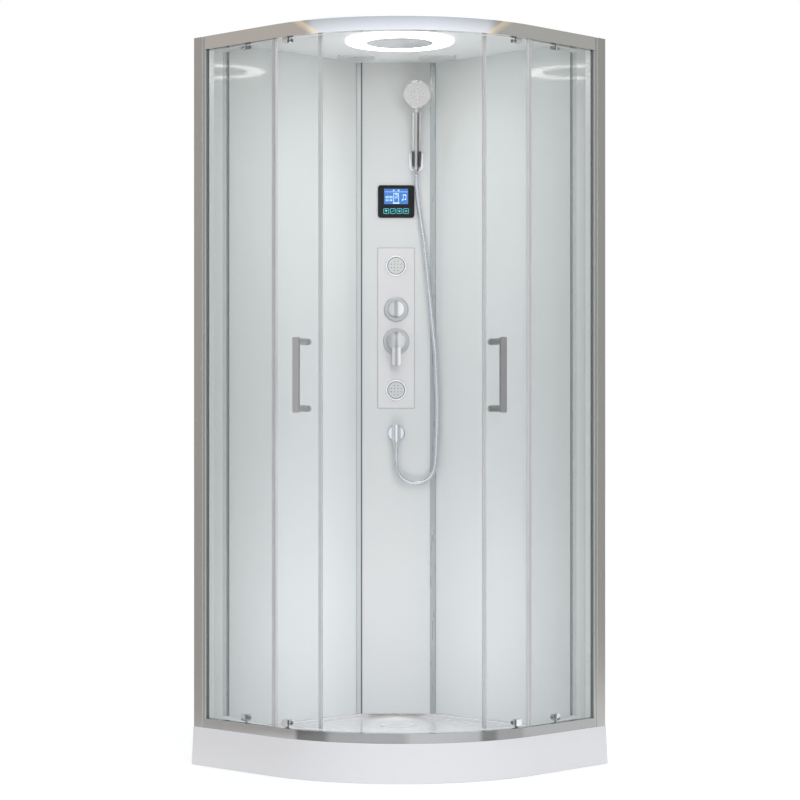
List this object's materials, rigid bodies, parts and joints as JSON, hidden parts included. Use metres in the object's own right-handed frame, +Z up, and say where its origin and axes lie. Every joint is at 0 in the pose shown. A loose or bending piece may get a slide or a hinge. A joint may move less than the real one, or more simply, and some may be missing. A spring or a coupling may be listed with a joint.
{
  "type": "hydromassage shower cabin",
  "caption": "Quadrant corner shower cabin with curved sliding glass doors, a low tray, a column with mixer, body jets and display, a hand shower, and a roof with ring light and rain shower.",
  "frame": {"origin": "on the floor, in the middle of the box round the cabin: halfway between the room corner and the front, on the centre line", "axes": "+Z up; the rounded front and its entrance face -Y, the room corner is at +Y, and +X is to the right for someone who looks in from the front"},
  "size_m": [1.2728, 1.0448, 2.258],
  "materials": {
    "acrylic_white": "glossy",
    "frame_steel": "satin",
    "foot_black": "matte",
    "trap_plastic": "matte",
    "polished_aluminium": "polished",
    "clear_glass": "clear",
    "gasket_grey": "matte",
    "seal_clear": "translucent",
    "handle_metal": "satin",
    "chrome": "polished",
    "knob_grey": "matte",
    "wheel_white": "satin",
    "wall_glass": "back-painted, glossy",
    "display_black": "glossy",
    "white_plastic": "satin",
    "spindle_metal": "satin",
    "valve_brass": "cast",
    "pipe_plastic": "satin",
    "hose_chrome": "metallised",
    "rotor_black": "matte"
  },
  "bodies": {
    "cabin": {"tray": "acrylic_white", "column": "acrylic_white", "control_plate": "acrylic_white", "roof": "acrylic_white", "tray_frame": "frame_steel", "tray_feet": "foot_black", "drain_trap": "trap_plastic", "bottom_rail": "polished_aluminium", "top_rail": "polished_aluminium", "post_left": "polished_aluminium", "post_right": "polished_aluminium", "column_strips": "polished_aluminium", "fixed_glass_left": "clear_glass", "fixed_glass_right": "clear_glass", "glazing_gaskets": "gasket_grey", "fixed_seals": "seal_clear", "control_rings": "chrome", "hose_outlet": "chrome", "hand_holder": "chrome", "rain_shower": "chrome", "wall_left": "wall_glass", "wall_right": "wall_glass", "display_panel": "display_black", "ring_light": "white_plastic", "fan_grille": "white_plastic", "speaker": "white_plastic", "control_box": "white_plastic", "screws": "spindle_metal", "valve_body": "valve_brass", "water_pipes": "pipe_plastic", "shower_hose": "hose_chrome"},
    "door_left": {"door_glass_left": "clear_glass", "door_seal_left": "seal_clear", "door_fin_left": "seal_clear", "handle_left": "handle_metal", "roller_blocks_left": "chrome", "roller_knobs_left": "knob_grey"},
    "door_right": {"door_glass_right": "clear_glass", "door_seal_right": "seal_clear", "door_fin_right": "seal_clear", "handle_right": "handle_metal", "roller_blocks_right": "chrome", "roller_knobs_right": "knob_grey"},
    "wheel_left_1_body": {"wheel_left_1": "wheel_white"},
    "wheel_left_2_body": {"wheel_left_2": "wheel_white"},
    "wheel_left_3_body": {"wheel_left_3": "wheel_white"},
    "wheel_left_4_body": {"wheel_left_4": "wheel_white"},
    "wheel_right_1_body": {"wheel_right_1": "wheel_white"},
    "wheel_right_2_body": {"wheel_right_2": "wheel_white"},
    "wheel_right_3_body": {"wheel_right_3": "wheel_white"},
    "wheel_right_4_body": {"wheel_right_4": "wheel_white"},
    "jet_top_body": {"jet_top": "white_plastic"},
    "jet_low_body": {"jet_low": "white_plastic"},
    "diverter_knob_body": {"diverter_knob": "chrome"},
    "mixer_spindle_body": {"mixer_spindle": "spindle_metal"},
    "mixer_lever_body": {"mixer_lever": "chrome"},
    "hand_shower_body": {"hand_shower": "chrome"},
    "drain_cover_body": {"drain_cover": "chrome"},
    "fan_rotor_body": {"fan_rotor": "rotor_black"}
  },
  "joints": [
    {"name": "door_left_slide", "type": "hinge", "parent": "cabin", "child": "door_left", "pos_m": [0.06788, 0.16186, 1.16], "axis": [0, 0, 1], "range_deg": [0, 21.8]},
    {"name": "wheel_left_1_spin", "type": "hinge", "parent": "door_left", "child": "wheel_left_1_body", "pos_m": [-0.33323, -0.3432, 2.2013], "axis": [-0.5793, -0.8151, 0], "continuous": true},
    {"name": "wheel_left_2_spin", "type": "hinge", "parent": "door_left", "child": "wheel_left_2_body", "pos_m": [-0.45797, -0.21515, 2.2013], "axis": [-0.83, -0.5577, 0], "continuous": true},
    {"name": "wheel_left_3_spin", "type": "hinge", "parent": "door_left", "child": "wheel_left_3_body", "pos_m": [-0.33323, -0.3432, 0.1273], "axis": [-0.5793, -0.8151, 0], "continuous": true},
    {"name": "wheel_left_4_spin", "type": "hinge", "parent": "door_left", "child": "wheel_left_4_body", "pos_m": [-0.45797, -0.21515, 0.1273], "axis": [-0.83, -0.5577, 0], "continuous": true},
    {"name": "door_right_slide", "type": "hinge", "parent": "cabin", "child": "door_right", "pos_m": [-0.06788, 0.16186, 1.16], "axis": [0, 0, 1], "range_deg": [-21.8, 0]},
    {"name": "wheel_right_1_spin", "type": "hinge", "parent": "door_right", "child": "wheel_right_1_body", "pos_m": [0.33323, -0.3432, 2.2013], "axis": [0.5793, -0.8151, 0], "continuous": true},
    {"name": "wheel_right_2_spin", "type": "hinge", "parent": "door_right", "child": "wheel_right_2_body", "pos_m": [0.45797, -0.21515, 2.2013], "axis": [0.83, -0.5577, 0], "continuous": true},
    {"name": "wheel_right_3_spin", "type": "hinge", "parent": "door_right", "child": "wheel_right_3_body", "pos_m": [0.33323, -0.3432, 0.1273], "axis": [0.5793, -0.8151, 0], "continuous": true},
    {"name": "wheel_right_4_spin", "type": "hinge", "parent": "door_right", "child": "wheel_right_4_body", "pos_m": [0.45797, -0.21515, 0.1273], "axis": [0.83, -0.5577, 0], "continuous": true},
    {"name": "jet_top_tilt", "type": "hinge", "parent": "cabin", "child": "jet_top_body", "pos_m": [0, 0.37249, 1.553], "axis": [1, 0, 0], "range_deg": [-10, 10]},
    {"name": "jet_low_tilt", "type": "hinge", "parent": "cabin", "child": "jet_low_body", "pos_m": [0, 0.37249, 1.148], "axis": [1, 0, 0], "range_deg": [-10, 10]},
    {"name": "diverter_turn", "type": "hinge", "parent": "cabin", "child": "diverter_knob_body", "pos_m": [0, 0.36719, 1.411], "axis": [0, -1, 0], "range_deg": [-90, 90]},
    {"name": "mixer_turn", "type": "hinge", "parent": "cabin", "child": "mixer_spindle_body", "pos_m": [0, 0.35449, 1.3065], "axis": [0, -1, 0], "range_deg": [-45, 45]},
    {"name": "mixer_lift", "type": "hinge", "parent": "mixer_spindle_body", "child": "mixer_lever_body", "pos_m": [0, 0.35449, 1.3065], "axis": [-1, 0, 0], "range_deg": [0, 20]},
    {"name": "hand_shower_lift", "type": "slide", "parent": "cabin", "child": "hand_shower_body", "axis": [0, -0.1736, 0.9848], "range_m": [0, 0.06], "deforming": ["shower_hose"]},
    {"name": "drain_cover_lift", "type": "slide", "parent": "cabin", "child": "drain_cover_body", "axis": [0, 0, 1], "range_m": [0, 0.03]},
    {"name": "fan_spin", "type": "hinge", "parent": "cabin", "child": "fan_rotor_body", "pos_m": [-0.131, 0.26749, 2.232], "axis": [0, 0, 1], "continuous": true}
  ],
  "couplings": [
    {"joint": "wheel_left_1_spin", "follows": "door_left_slide", "ratio": -71.561},
    {"joint": "wheel_left_2_spin", "follows": "door_left_slide", "ratio": -71.86},
    {"joint": "wheel_left_3_spin", "follows": "door_left_slide", "ratio": -71.561},
    {"joint": "wheel_left_4_spin", "follows": "door_left_slide", "ratio": -71.86},
    {"joint": "wheel_right_1_spin", "follows": "door_right_slide", "ratio": -71.561},
    {"joint": "wheel_right_2_spin", "follows": "door_right_slide", "ratio": -71.86},
    {"joint": "wheel_right_3_spin", "follows": "door_right_slide", "ratio": -71.561},
    {"joint": "wheel_right_4_spin", "follows": "door_right_slide", "ratio": -71.86}
  ]
}
